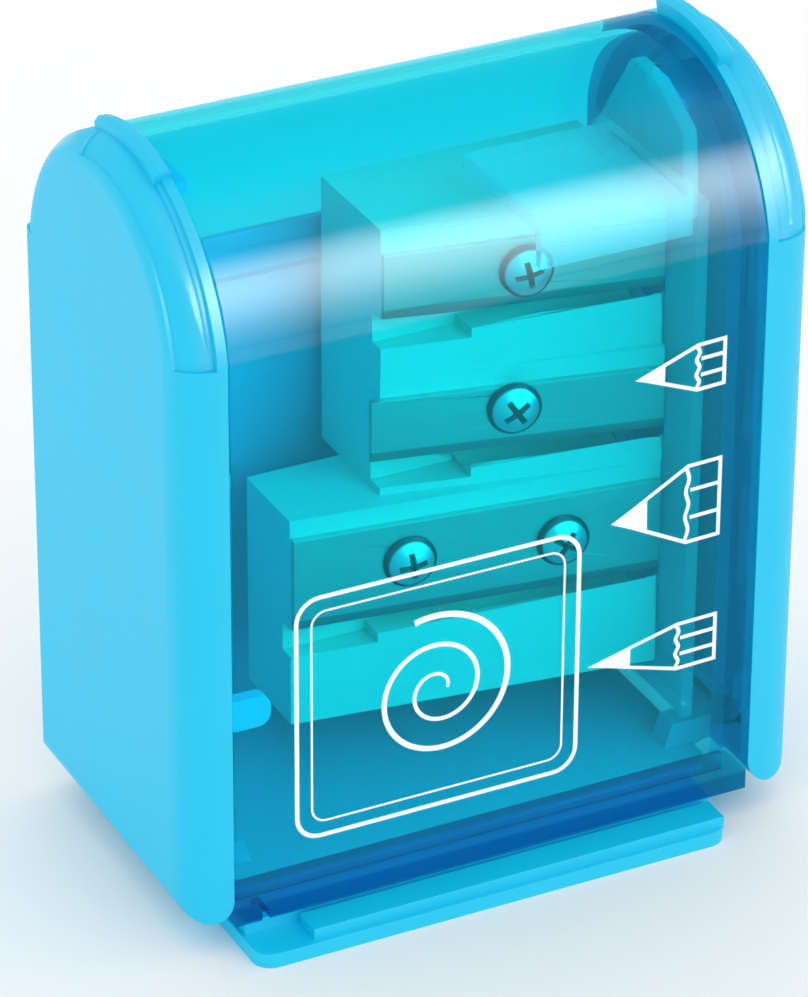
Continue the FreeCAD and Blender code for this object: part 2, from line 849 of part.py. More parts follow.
def make_screws():
    """Four screws hold the blades, and two longer ones come through the back wall."""
    blade_screws = []
    for station in STATIONS:
        for along, up in station[-1]:
            base, degrees = on_blade(station, along, up)
            number = len(blade_screws)
            spin = SCREW_SPINS[number]
            name = f"blade_screw_{number}"
            blade_screws.append(make_screw(name, base, degrees, "screw_length", spin))
    group(blade_screws, "blade_screws")
    back_screws = []
    for number, (across, up, _) in enumerate(BLOCK_SCREWS):
        base = FreeCAD.Vector(amount(across), amount("half_depth - head_height"), amount(up))
        name = f"block_screw_{number}"
        back_screws.append(make_screw(name, base, 180, "back_screw_length", 20 + 25 * number))
    group(back_screws, "block_screws")


def group(solids, label):
    """Separate solids kept together as one part."""
    made = doc.addObject("Part::Compound", label)
    made.Label = label
    made.Links = solids


# outline of the upright wall, from its front bottom corner: it fills the arch up to the roof
UPRIGHT = [
    ("- upright_front", "upright_bottom"),
    ("upright_back", "upright_bottom"),
    ("5.6", "60.6"),
    ("0.2", "68.2"),
    ("- 4", "67.9"),
    ("- 9", "65.3"),
    ("- upright_front", "61"),
]


def make_inner_frame():
    """Clear end wall with the three guide holes, and above the block an upright wall and a shelf."""
    owner = new_body("inner_frame")
    wall = new_sketch(owner, "frame_wall", "YZ_Plane", "frame_left")
    outline(
        wall,
        [
            ("- frame_front", "frame_bottom"),
            ("frame_back", "frame_bottom"),
            ("frame_back", "seam - lap_height - frame_lap_gap"),
            ("block_high_back - frame_shoulder", "seam - lap_height - frame_lap_gap"),
            ("frame_top_back", "frame_top"),
            ("- frame_front", "frame_top"),
        ],
    )
    pad(owner, wall, "frame_thick")
    bridge = new_sketch(owner, "frame_bridge", "XY_Plane", "upright_bottom")
    rectangle(bridge, ("upright_left", "- frame_front"), ("frame_left + overlap", "upright_back"))
    pad(owner, bridge, "frame_top - upright_bottom")
    upright = new_sketch(owner, "frame_upright", "YZ_Plane", "upright_left")
    outline(upright, UPRIGHT)
    pad(owner, upright, "upright_thick")
    shelf = new_sketch(owner, "frame_shelf", "XY_Plane", "shelf_top - shelf_thick")
    outline(
        shelf,
        [
            ("shelf_left", "- shelf_front"),
            ("upright_left + overlap", "- shelf_front"),
            ("upright_left + overlap", "shelf_back"),
            ("shelf_left", "shelf_back"),
        ],
    )
    pad(owner, shelf, "shelf_thick")
    apron = new_sketch(owner, "frame_apron", "XY_Plane", "apron_bottom")
    rectangle(apron, ("shelf_left", "- shelf_front"), ("upright_left + overlap", "apron_thick - shelf_front"))
    pad(owner, apron, "shelf_top - apron_bottom - overlap")
    for station in STATIONS:
        name, radius, edge_up = station[:3]
        guide = new_sketch(owner, f"frame_{name}_guide", "YZ_Plane", "frame_left - past")
        ring(guide, plain(cone_axis(station)), str(edge_up), f"{radius} + hole_play")
        pocket(owner, guide, "frame_thick + past + past", reverse=True)


def make_blades():
    """Three flat blades, each with a ground edge along its bottom and holes for its screws."""
    for name, _, edge_up, length, height, right, left, screws in STATIONS:
        owner = new_body(name + "_blade")
        face = new_sketch(owner, name + "_blade_face", "XZ_Plane")
        rectangle(face, (f"- {length}", "0"), ("0", str(height)))
        for along, up in screws:
            ring(face, f"- {along}", str(up), "screw_radius + hole_play")
        pad(owner, face, "blade_thick", reverse=True)
        grind = new_sketch(owner, name + "_blade_grind", "YZ_Plane")
        outline(
            grind,
            [
                ("- past", "- past"),
                ("grind_depth", "- past"),
                ("grind_depth", "0"),
                ("0", "grind_height"),
                ("- past", "grind_height"),
            ],
        )
        pocket(owner, grind, f"{length}")
        turned = FreeCAD.Rotation(FreeCAD.Vector(0, 0, 1), blade_angle(length, right, left))
        base = FreeCAD.Vector(amount("block_right - blade_inset"), right, edge_up)
        owner.Placement = FreeCAD.Placement(base, turned)


def blade_angle(length, right, left):
    """The blade's turn about Z, in degrees: its right end is the nearer one."""
    return -math.degrees(math.asin((left - right) / length))


make_clear_window()
make_back_wall()
make_base_plate()
make_door("left", -1, -1.0, 21.0, ("left_tongue_front", "- right_tongue_front"))
make_door("right", 1, 3.5, 18.5, ())
make_hinge_pin("left", -1)
make_hinge_pin("right", 1)
make_block()
make_blades()
make_screws()
make_inner_frame()
doc.recompute()

PARTS = [
    "clear_window",
    "back_wall",
    "base_plate",
    "inner_frame",
    "left_door",
    "right_door",
    "left_hinge_pin",
    "right_hinge_pin",
    "sharpener_block",
    "standard_blade",
    "jumbo_blade",
    "long_point_blade",
    "blade_screws",
    "block_screws",
]

for item in doc.Objects:
    if "Invalid" in item.State or "Error" in item.State:
        raise RuntimeError(f"{item.Label} is {item.State}")
shapes = {label: doc.getObjectsByLabel(label)[0].Shape for label in PARTS}
for label, shape in shapes.items():
    if shape.isNull() or not shape.isValid() or shape.Volume <= 0:
        raise RuntimeError(f"{label} has no valid shape")

os.makedirs("parts", exist_ok=True)
for label, shape in shapes.items():
    shape.exportStep(f"parts/{label}.step")
    print(f"{label}: {shape.Volume:.1f} mm3, {len(shape.Solids)} solid(s)")
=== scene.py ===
"""Looks of the three-hole sharpener: clear blue bin, sky-blue doors, aqua block and steel blades."""
import math

import bpy
import numpy as np
from mathutils import Matrix, Vector


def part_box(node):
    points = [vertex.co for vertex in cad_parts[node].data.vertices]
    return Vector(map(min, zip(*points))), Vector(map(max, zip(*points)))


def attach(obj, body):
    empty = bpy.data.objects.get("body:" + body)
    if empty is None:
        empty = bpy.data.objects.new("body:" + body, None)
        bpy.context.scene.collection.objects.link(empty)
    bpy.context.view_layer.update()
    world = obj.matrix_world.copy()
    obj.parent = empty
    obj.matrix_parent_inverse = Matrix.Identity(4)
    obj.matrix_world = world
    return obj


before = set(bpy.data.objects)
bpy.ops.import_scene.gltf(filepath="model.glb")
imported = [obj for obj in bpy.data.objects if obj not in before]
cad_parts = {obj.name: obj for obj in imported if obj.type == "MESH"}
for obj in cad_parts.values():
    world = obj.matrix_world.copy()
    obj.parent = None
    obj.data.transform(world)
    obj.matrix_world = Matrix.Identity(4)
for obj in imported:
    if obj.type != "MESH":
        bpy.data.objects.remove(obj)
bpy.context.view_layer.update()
MM = 0.001

# ---------------------------------------------------------------- node helpers


def new_group(name, inputs, outputs):
    """An empty shader node group; inputs are (name, kind, default), outputs (name, kind)."""
    group = bpy.data.node_groups.new(name, "ShaderNodeTree")
    for label, kind, value in inputs:
        socket = group.interface.new_socket(label, in_out="INPUT", socket_type="NodeSocket" + kind)
        socket.default_value = value
    for label, kind in outputs:
        group.interface.new_socket(label, in_out="OUTPUT", socket_type="NodeSocket" + kind)
    return group, group.nodes.new("NodeGroupInput"), group.nodes.new("NodeGroupOutput")


def add(tree, kind, **values):
    """A node with its properties, or its inputs when the name is one of those, set."""
    node = tree.nodes.new("ShaderNode" + kind)
    for key, value in values.items():
        label = key.replace("_", " ")
        if label in node.inputs:
            node.inputs[label].default_value = value
        else:
            setattr(node, key, value)
    return node


def link(tree, source, target):
    """Joins an output socket to an input socket."""
    tree.links.new(source, target)


def maths(tree, operation, first, second=None, third=None):
    """A Math node fed by sockets or numbers; returns its output."""
    node = tree.nodes.new("ShaderNodeMath")
    node.operation = operation
    for number, value in enumerate((first, second, third)):
        if value is None:
            continue
        if isinstance(value, bpy.types.NodeSocket):
            link(tree, value, node.inputs[number])
        else:
            node.inputs[number].default_value = value
    return node.outputs[0]


def blend_colour(tree, share, first, second, kind="MIX"):
    """A colour mix; share, first and second are sockets or values."""
    node = tree.nodes.new("ShaderNodeMix")
    node.data_type = "RGBA"
    node.blend_type = kind
    for index, value in ((0, share), (6, first), (7, second)):
        if isinstance(value, bpy.types.NodeSocket):
            link(tree, value, node.inputs[index])
        else:
            node.inputs[index].default_value = value
    return node.outputs[2]


def colour(red, green, blue):
    """An sRGB colour from 0 to 255 as a linear RGBA tuple."""
    parts = []
    for value in (red, green, blue):
        share = value / 255
        parts.append(share / 12.92 if share <= 0.04045 else ((share + 0.055) / 1.055) ** 2.4)
    return (*parts, 1.0)


# ---------------------------------------------------------------- shared effects


def make_grain():
    """Fine moulded texture: two sizes of noise give a height and a slight roughness change."""
    group, given, out = new_group(
        "moulded_grain",
        [("Scale", "Float", 6000.0), ("Roughness", "Float", 0.4), ("Spread", "Float", 0.05)],
        [("Height", "Float"), ("Roughness", "Float"), ("Patch", "Float")],
    )
    place = add(group, "TexCoord").outputs["Object"]
    fine = add(group, "TexNoise", Detail=2.0, Roughness=0.6)
    link(group, place, fine.inputs["Vector"])
    link(group, given.outputs["Scale"], fine.inputs["Scale"])
    broad = add(group, "TexNoise", Detail=3.0, Scale=90.0)
    link(group, place, broad.inputs["Vector"])
    link(group, fine.outputs["Fac"], out.inputs["Height"])
    link(group, broad.outputs["Fac"], out.inputs["Patch"])
    shift = maths(group, "SUBTRACT", broad.outputs["Fac"], 0.5)
    change = maths(group, "MULTIPLY", shift, given.outputs["Spread"])
    link(group, maths(group, "ADD", given.outputs["Roughness"], change), out.inputs["Roughness"])
    return group


def make_brushed():
    """Ground metal: noise stretched along X gives long fine scratches."""
    group, given, out = new_group(
        "ground_lines",
        [("Across", "Float", 9000.0), ("Along", "Float", 250.0), ("Roughness", "Float", 0.3)],
        [("Height", "Float"), ("Roughness", "Float"), ("Lines", "Float")],
    )
    place = add(group, "TexCoord").outputs["Object"]
    stretch = group.nodes.new("ShaderNodeCombineXYZ")
    link(group, given.outputs["Along"], stretch.inputs[0])
    link(group, given.outputs["Along"], stretch.inputs[1])
    link(group, given.outputs["Across"], stretch.inputs[2])
    stretched = group.nodes.new("ShaderNodeVectorMath")
    stretched.operation = "MULTIPLY"
    link(group, place, stretched.inputs[0])
    link(group, stretch.outputs[0], stretched.inputs[1])
    lines = add(group, "TexNoise", Detail=4.0, Scale=1.0, Roughness=0.7)
    link(group, stretched.outputs[0], lines.inputs["Vector"])
    link(group, lines.outputs["Fac"], out.inputs["Height"])
    link(group, lines.outputs["Fac"], out.inputs["Lines"])
    swing = maths(group, "MULTIPLY", maths(group, "SUBTRACT", lines.outputs["Fac"], 0.5), 0.35)
    link(group, maths(group, "ADD", given.outputs["Roughness"], swing), out.inputs["Roughness"])
    return group


def ramp_between(tree, value, start, end):
    """0 below start, 1 above end and a smooth rise between them."""
    node = tree.nodes.new("ShaderNodeMapRange")
    node.interpolation_type = "SMOOTHSTEP"
    link(tree, value, node.inputs["Value"])
    for name, source in (("From Min", start), ("From Max", end)):
        if isinstance(source, bpy.types.NodeSocket):
            link(tree, source, node.inputs[name])
        else:
            node.inputs[name].default_value = source
    return node.outputs["Result"]


# height of the arch's axis, how far the polish fades out at its top, and the distances from the axis
# between which its outer skin begins, in metres
ARCH_CENTRE = 0.05414
ARCH_FADE = 0.0025
SKIN_START = 0.0150
SKIN_END = 0.0154


def make_regions():
    """Masks of a moulding: its end rim, its foot, the outer skin of its arch, and all above its foot."""
    group, given, out = new_group(
        "moulding_regions",
        [
            ("Rim Start", "Float", 0.0213),
            ("Foot Top", "Float", 0.0042),
            ("Arch Start", "Float", 0.0570),
            ("Arch End", "Float", 0.0668),
            ("Side", "Float", 0.0284),
            ("Blend", "Float", 0.0006),
        ],
        [("Rim", "Float"), ("Foot", "Float"), ("Arch", "Float"), ("Inside", "Float")],
    )
    place = add(group, "TexCoord").outputs["Object"]
    split = group.nodes.new("ShaderNodeSeparateXYZ")
    link(group, place, split.inputs[0])
    blend = given.outputs["Blend"]
    rim_end = maths(group, "ADD", given.outputs["Rim Start"], blend)
    rim = ramp_between(group, split.outputs["X"], given.outputs["Rim Start"], rim_end)
    foot_end = maths(group, "ADD", given.outputs["Foot Top"], blend)
    above = ramp_between(group, split.outputs["Z"], given.outputs["Foot Top"], foot_end)
    link(group, above, out.inputs["Inside"])
    link(group, maths(group, "SUBTRACT", 1.0, above), out.inputs["Foot"])
    link(group, rim, out.inputs["Rim"])
    arch_end = maths(group, "ADD", given.outputs["Arch Start"], blend)
    arch = ramp_between(group, split.outputs["Z"], given.outputs["Arch Start"], arch_end)
    level_end = maths(group, "ADD", given.outputs["Arch End"], ARCH_FADE)
    level = ramp_between(group, split.outputs["Z"], given.outputs["Arch End"], level_end)
    arch = maths(group, "MULTIPLY", arch, maths(group, "SUBTRACT", 1.0, level))
    lifted = maths(group, "SUBTRACT", split.outputs["Z"], ARCH_CENTRE)
    reach = maths(group, "MULTIPLY", split.outputs["Y"], split.outputs["Y"])
    reach = maths(group, "SQRT", maths(group, "MULTIPLY_ADD", lifted, lifted, reach))
    arch = maths(group, "MULTIPLY", arch, ramp_between(group, reach, SKIN_START, SKIN_END))
    across = maths(group, "ABSOLUTE", split.outputs["X"])
    side_end = maths(group, "ADD", given.outputs["Side"], blend)
    side = ramp_between(group, across, given.outputs["Side"], side_end)
    inward = maths(group, "SUBTRACT", 1.0, side)
    link(group, maths(group, "MULTIPLY", arch, inward), out.inputs["Arch"])
    return group


GRAIN = make_grain()
BRUSHED = make_brushed()
REGIONS = make_regions()


# share by which a moulding's colour varies, the clear plastic's darkest share, and the height where
# the painted shade of the base plate's inside starts
MOTTLE = 0.04
CLEAR_MOTTLE = 0.97
FOOT_TOP = 0.0028
# the clear plastic bends light little, so its walls show no dark bands; its gloss is a coat
CLEAR_IOR = 1.03
# how much darker the steel is between its lines; the painted dark reflection on a ground edge, which
# stands in for the darker surroundings its downward bevel mirrors; and the painted shade in a screw's
# recess
LINE_SHADE = 0.74
GROUND_DARK_REFLECTION = 0.5
RECESS_SHADE = (0.05, 0.055, 0.06, 1.0)


def new_material(name):
    """A material with only its Principled BSDF and output."""
    made = bpy.data.materials.new(name)
    made.use_nodes = True
    tree = made.node_tree
    return made, tree, tree.nodes["Principled BSDF"]


def scaled(base, share):
    """A linear colour times a share, no channel above 1."""
    return tuple(min(1.0, value * share) for value in base[:3]) + (1.0,)


def use_group(tree, group, **values):
    """A group node with its inputs set."""
    node = tree.nodes.new("ShaderNodeGroup")
    node.node_tree = group
    for key, value in values.items():
        node.inputs[key].default_value = value
    return node


def bump(tree, shader, height, strength, distance):
    """Feeds a height into the shader's normal; distance is in metres."""
    node = add(tree, "Bump", Strength=strength, Distance=distance)
    link(tree, height, node.inputs["Height"])
    link(tree, node.outputs["Normal"], shader.inputs["Normal"])


def moulded(name, base, roughness, grain_size, grain_depth, shine=0.0, inside_shade=None):
    """Opaque moulded plastic with a fine grain and a slight mottle.

    shine polishes its arch. The last argument is painted shade: a darker colour used above the foot
    plate, where the part is inside the bin and gets less light.
    """
    made, tree, shader = new_material(name)
    grain = use_group(tree, GRAIN, Scale=1 / grain_size, Roughness=roughness, Spread=0.08)
    darker = scaled(base, 1 - MOTTLE)
    lighter = scaled(base, 1 + MOTTLE)
    tint = blend_colour(tree, grain.outputs["Patch"], darker, lighter)
    # painted shade: above the foot plate the inside of the bin is darkened, as less light gets in there
    if inside_shade:
        depth = use_group(tree, REGIONS, **{"Foot Top": FOOT_TOP})
        tint = blend_colour(tree, depth.outputs["Inside"], tint, inside_shade)
    link(tree, tint, shader.inputs["Base Color"])
    link(tree, grain.outputs["Roughness"], shader.inputs["Roughness"])
    shader.inputs["Specular IOR Level"].default_value = 0.45
    if shine:
        regions = use_group(tree, REGIONS)
        coat = maths(tree, "MULTIPLY", regions.outputs["Arch"], shine)
        link(tree, coat, shader.inputs["Coat Weight"])
        shader.inputs["Coat Roughness"].default_value = 0.14
    bump(tree, shader, grain.outputs["Height"], 0.6, grain_depth)
    return made


def clear_plastic(name, tints, clearness, light_loss, coat_low, coat_high):
    """Transparent tinted plastic that lets lamps through and is polished on its arch.

    tints are its colours where it is thin, at its end rim and at its foot.
    """
    tint, rim_tint, foot_tint = tints
    made, tree, shader = new_material(name)
    grain = use_group(tree, GRAIN, Scale=700.0, Roughness=0.04, Spread=0.03)
    regions = use_group(tree, REGIONS)
    shade = blend_colour(tree, grain.outputs["Patch"], scaled(tint, CLEAR_MOTTLE), tint)
    shade = blend_colour(tree, regions.outputs["Rim"], shade, rim_tint)
    shade = blend_colour(tree, regions.outputs["Foot"], shade, foot_tint)
    link(tree, shade, shader.inputs["Base Color"])
    link(tree, grain.outputs["Roughness"], shader.inputs["Roughness"])
    shader.inputs["Transmission Weight"].default_value = clearness
    shader.inputs["IOR"].default_value = CLEAR_IOR
    shader.inputs["Specular IOR Level"].default_value = 0.3
    rise = maths(tree, "MULTIPLY", regions.outputs["Arch"], coat_high - coat_low)
    link(tree, maths(tree, "ADD", rise, coat_low), shader.inputs["Coat Weight"])
    shader.inputs["Coat Roughness"].default_value = 0.05
    bump(tree, shader, grain.outputs["Height"], 0.15, 0.00002)
    pass_light = tree.nodes.new("ShaderNodeBsdfTransparent")
    through = tuple((1 - light_loss) * math.sqrt(value) for value in tint[:3]) + (1.0,)
    pass_light.inputs["Color"].default_value = through
    path = tree.nodes.new("ShaderNodeLightPath")
    mixer = tree.nodes.new("ShaderNodeMixShader")
    link(tree, path.outputs["Is Shadow Ray"], mixer.inputs[0])
    link(tree, shader.outputs[0], mixer.inputs[1])
    link(tree, pass_light.outputs[0], mixer.inputs[2])
    link(tree, mixer.outputs[0], tree.nodes["Material Output"].inputs["Surface"])
    return made


def make_ground_edge():
    """Mask of a blade's ground bevel, from its cutting edge up, where a painted dark reflection goes."""
    group, given, out = new_group(
        "ground_edge",
        [("Edge", "Float", 0.0482), ("Width", "Float", 0.0011), ("Blend", "Float", 0.00012)],
        [("Ground", "Float")],
    )
    place = add(group, "TexCoord").outputs["Object"]
    split = group.nodes.new("ShaderNodeSeparateXYZ")
    link(group, place, split.inputs[0])
    top = maths(group, "ADD", given.outputs["Edge"], given.outputs["Width"])
    top_end = maths(group, "ADD", top, given.outputs["Blend"])
    above = ramp_between(group, split.outputs["Z"], top, top_end)
    link(group, maths(group, "SUBTRACT", 1.0, above), out.inputs["Ground"])
    return group


# blades: height of the cutting edge, front face at its right end, and its slope in plan
BLADE_FACES = {
    "standard_blade": (0.0482, -0.0044, 0.1856),
    "jumbo_blade": (0.0345, -0.0050, 0.2130),
    "long_point_blade": (0.0201, -0.00485, 0.1320),
}
BLADE_END = 0.02175


def make_screw_heights():
    """Mask of a screw's low parts, its recess and the rim of its head, which get painted shade.

    Height is measured from the face of the blade that the screw holds down. The blade is told by
    its height on the block.
    """
    group, given, out = new_group(
        "screw_heights",
        [("Low", "Float", 0.00050), ("High", "Float", 0.00068)],
        [("Sunk", "Float")],
    )
    place = add(group, "TexCoord").outputs["Object"]
    split = group.nodes.new("ShaderNodeSeparateXYZ")
    link(group, place, split.inputs[0])
    inward = maths(group, "SUBTRACT", BLADE_END, split.outputs["X"])
    faces = []
    for _, start, slope in BLADE_FACES.values():
        faces.append(maths(group, "MULTIPLY_ADD", inward, slope, start))
    standard, jumbo, long_point = faces
    heights = [edge for edge, _, _ in BLADE_FACES.values()]
    above_jumbo = maths(group, "GREATER_THAN", split.outputs["Z"], heights[0])
    above_long = maths(group, "GREATER_THAN", split.outputs["Z"], heights[1])
    lower = maths(group, "SUBTRACT", jumbo, long_point)
    face = maths(group, "MULTIPLY_ADD", above_long, lower, long_point)
    upper = maths(group, "SUBTRACT", standard, face)
    face = maths(group, "MULTIPLY_ADD", above_jumbo, upper, face)
    height = maths(group, "SUBTRACT", face, split.outputs["Y"])
    above = ramp_between(group, height, given.outputs["Low"], given.outputs["High"])
    link(group, maths(group, "SUBTRACT", 1.0, above), out.inputs["Sunk"])
    return group


GROUND = make_ground_edge()
SUNK = make_screw_heights()


def steel(name, base, roughness, across=9000.0, along=250.0, edge=None, sunk=False):
    """Steel with fine lines, a painted dark reflection on a blade's ground edge and painted shade in a
    screw's recess.
    """
    made, tree, shader = new_material(name)
    lines = use_group(tree, BRUSHED, Across=across, Along=along, Roughness=roughness)
    tint = blend_colour(tree, lines.outputs["Lines"], scaled(base, LINE_SHADE), base)
    # painted dark reflection: the ground bevel tilts down and mirrors the darker surroundings beneath it
    if edge:
        ground = use_group(tree, GROUND, Edge=edge)
        tint = blend_colour(tree, ground.outputs["Ground"], tint, scaled(base, GROUND_DARK_REFLECTION))
    # painted shade: the cross recess and the rim round the head are darkened as little light reaches
    # them
    if sunk:
        depth = use_group(tree, SUNK)
        tint = blend_colour(tree, depth.outputs["Sunk"], tint, RECESS_SHADE)
    link(tree, tint, shader.inputs["Base Color"])
    link(tree, lines.outputs["Roughness"], shader.inputs["Roughness"])
    shader.inputs["Metallic"].default_value = 1.0
    bump(tree, shader, lines.outputs["Height"], 0.5, 0.000004)
    return made


SKY_BLUE = moulded("sky_blue_plastic", (0.0, 0.565, 0.86, 1.0), 0.42, 0.00025, 0.000012, shine=0.6)
# the base plate's darker second colour is painted shade for its part inside the bin
BASE_BLUE = moulded(
    "base_blue_plastic",
    (0.0, 0.60, 0.88, 1.0),
    0.42,
    0.00025,
    0.000012,
    inside_shade=(0.0, 0.38, 0.52, 1.0),
)
WALL_BLUE = moulded("wall_blue_plastic", (0.0, 0.45, 0.64, 1.0), 0.5, 0.0003, 0.000012)
AQUA = moulded("aqua_plastic", (0.17, 0.72, 0.63, 1.0), 0.34, 0.0004, 0.000006)
# clear plastic: tints, share let through, light lost at each skin, then the polish of its flat faces
# and of its arch
WINDOW_TINTS = ((0.05, 0.80, 0.905, 1.0), (0.02, 0.72, 0.88, 1.0), (0.01, 0.34, 0.56, 1.0))
FRAME_TINTS = ((0.35, 0.96, 0.985, 1.0),) * 3
CLEAR_BLUE = clear_plastic("clear_blue_plastic", WINDOW_TINTS, 0.95, 0.12, 0.1, 0.9)
CLEAR_FRAME = clear_plastic("clear_frame_plastic", FRAME_TINTS, 0.74, 0.0, 0.2, 0.3)
BLADES = {
    node: steel(f"{node}_steel", (0.62, 0.625, 0.58, 1.0), 0.38, edge=face[0])
    for node, face in BLADE_FACES.items()
}
BLADE_SCREW = steel("screw_steel", (0.78, 0.79, 0.78, 1.0), 0.42, 1500.0, 1500.0, sunk=True)
BACK_SCREW = steel("back_screw_steel", (0.75, 0.76, 0.77, 1.0), 0.3, 1500.0, 1500.0)
PIN = steel("pin_steel", (0.6, 0.6, 0.62, 1.0), 0.3)
INK = moulded("white_ink", colour(245, 250, 252), 0.5, 0.0003, 0.000003)

FINISHES = {
    "clear_window": CLEAR_BLUE,
    "inner_frame": CLEAR_FRAME,
    "back_wall": WALL_BLUE,
    "base_plate": BASE_BLUE,
    "left_door": SKY_BLUE,
    "right_door": SKY_BLUE,
    "left_hinge_pin": PIN,
    "right_hinge_pin": PIN,
    "sharpener_block": AQUA,
    "blade_screws": BLADE_SCREW,
    "block_screws": BACK_SCREW,
    **BLADES,
}
for node, finish in FINISHES.items():
    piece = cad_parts[node]
    piece.data.materials.clear()
    piece.data.materials.append(finish)

# softened edges: bevel width in millimetres
SOFT_EDGES = {
    "clear_window": 0.10,
    "inner_frame": 0.10,
    "back_wall": 0.12,
    "base_plate": 0.22,
    "left_door": 0.18,
    "right_door": 0.18,
    "sharpener_block": 0.30,
    "standard_blade": 0.04,
    "jumbo_blade": 0.04,
    "long_point_blade": 0.04,
}
for node, width in SOFT_EDGES.items():
    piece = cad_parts[node]
    weld = piece.modifiers.new("weld", "WELD")
    weld.merge_threshold = 0.000002
    soften = piece.modifiers.new("soften", "BEVEL")
    soften.width = width * MM
    soften.segments = 2
    soften.limit_method = "ANGLE"
    soften.angle_limit = math.radians(38)
    even = piece.modifiers.new("even", "WEIGHTED_NORMAL")
    even.mode = "FACE_AREA"
    even.weight = 80

# ---------------------------------------------------------------- prints on the window

# the window's front face; the ink's gap from it, its thickness and the step from one line to the next
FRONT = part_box("clear_window")[0][1] / MM
INK_GAP = 0.012
INK_THICK = 0.02
INK_STEP = 0.004
# a mitred corner is never longer than the line's width over this share
MITRE_LIMIT = 0.35


def slab(path, widths, closed=False):
    """A flat printed line: P(s, k) = path(s) +- n(s) w(s) / 2, on the front and back of the ink.

    path is an (n, 2) array of X and Z in millimetres, widths the line's width at each point. n is
    the mitred normal of the path. k runs round the four corners of the line's cross-section.
    """
    path = np.asarray(path, dtype=float)
    widths = np.broadcast_to(np.asarray(widths, dtype=float), (len(path),))
    ahead = np.roll(path, -1, axis=0) - path
    behind = path - np.roll(path, 1, axis=0)
    if not closed:
        ahead[-1] = behind[-1]
        behind[0] = ahead[0]
    ahead /= np.linalg.norm(ahead, axis=1, keepdims=True)
    behind /= np.linalg.norm(behind, axis=1, keepdims=True)
    along = ahead + behind
    along /= np.linalg.norm(along, axis=1, keepdims=True)
    normal = np.stack([-along[:, 1], along[:, 0]], axis=1)
    stretch = 1 / np.clip((along * ahead).sum(axis=1), MITRE_LIMIT, 1.0)
    side = normal * (widths * stretch / 2)[:, None]
    near = FRONT - INK_GAP - INK_THICK
    far = FRONT - INK_GAP
    rows = []
    for edge, depth in ((side, near), (side, far), (-side, far), (-side, near)):
        flat = path + edge
        rows.append(np.stack([flat[:, 0], np.full(len(flat), depth), flat[:, 1]], axis=1))
    points = np.stack(rows, axis=1) * MM
    count = len(path)
    steps = count if closed else count - 1
    step, corner = np.meshgrid(np.arange(steps), np.arange(4), indexing="ij")
    after = (step + 1) % count
    turn = (corner + 1) % 4
    quads = np.stack(
        [step * 4 + corner, step * 4 + turn, after * 4 + turn, after * 4 + corner], axis=-1
    ).reshape(-1, 4)
    faces = quads.tolist()
    if not closed:
        last = (count - 1) * 4
        faces += [[3, 2, 1, 0], [last, last + 1, last + 2, last + 3]]
    return points.reshape(-1, 3), faces


def print_piece(name, parts):
    """One printed mark made of several slabs; rides on the bin."""
    vertices = []
    faces = []
    for layer, (points, loops) in enumerate(parts):
        start = sum(len(block) for block in vertices)
        vertices.append(points - np.array([0.0, layer * INK_STEP, 0.0]) * MM)
        faces += [[start + index for index in loop] for loop in loops]
    mesh = bpy.data.meshes.new(name)
    mesh.from_pydata(np.concatenate(vertices).tolist(), [], faces)
    mesh.validate()
    made = bpy.data.objects.new(name, mesh)
    bpy.context.collection.objects.link(made)
    mesh.materials.append(INK)
    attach(made, "bin")
    return made


# where a drawn pencil's lead and collar end, as shares of its length
LEAD = 0.33
COLLAR = 0.70
PENCIL_LINE = 0.36
# the collar's scallop depth, where the stripes start after it, and their place as shares of half a
# barrel; the outline starts a little inside the lead's tip
SCALLOP = 0.15
STRIPE_START = 0.3
STRIPES = (-0.36, 0.36)
TIP_INSET = 0.5
TIP_WIDTH = 0.02


def pencil_mark(name, tip, right, low, high, skew):
    """A pencil that points left: solid lead, cone, scalloped collar, two stripes and a closed end.

    The barrel's end is skew millimetres higher at the right, as the mark is drawn slightly turned.
    """
    tip_x, tip_z = tip
    length = right - tip_x
    middle = (low + high) / 2
    half = (high - low) / 2
    collar = tip_x + COLLAR * length
    lead = tip_x + LEAD * length
    lead_half = half * LEAD / COLLAR

    def at(across, up):
        """A point of the mark, sheared by skew along its length."""
        return (across, middle + up + skew * (across - tip_x) / length)

    start_up = tip_z - middle
    outline = [at(tip_x + TIP_INSET, start_up), at(collar, half), at(right, half), at(right, -half)]
    outline += [at(collar, -half)]
    lead_end = at(lead, start_up * (1 - LEAD / COLLAR))
    solid = slab([at(tip_x, start_up), lead_end], [TIP_WIDTH, 2 * lead_half])
    wave = np.linspace(-1, 1, 25)
    scallop = [at(collar + SCALLOP * math.cos(3 * math.pi * value), half * value) for value in wave]
    stripes = [
        slab([at(collar + STRIPE_START, half * share), at(right, half * share)], PENCIL_LINE)
        for share in STRIPES
    ]
    parts = [slab(outline, PENCIL_LINE, closed=True), solid, slab(scallop, PENCIL_LINE), *stripes]
    return print_piece(name, parts)


def rounded_frame(left, right, low, high, radius, steps=8):
    """Corner arcs of a rounded rectangle: c(t) = centre + radius (cos t, sin t)."""
    points = []
    for centre_x, centre_z, start in (
        (right - radius, high - radius, 0.0),
        (left + radius, high - radius, 0.5 * math.pi),
        (left + radius, low + radius, math.pi),
        (right - radius, low + radius, 1.5 * math.pi),
    ):
        angle = start + np.linspace(0, 0.5 * math.pi, steps)
        arc = np.stack([centre_x + radius * np.cos(angle), centre_z + radius * np.sin(angle)], axis=1)
        points.append(arc)
    return np.concatenate(points)


# the badge's frame: left, right, low and high edge; how far its inner line lies inside the outer one
BADGE = (-19.2, 7.6, 9.8, 33.4)
BADGE_STEP = 1.4
# the shaving: its middle, its first radius, its pitch and how far it turns
CURL_CENTRE = (-5.8, 21.4)
CURL_START = 0.8
CURL_PITCH = 2.9
CURL_TURN = 4.6 * math.pi


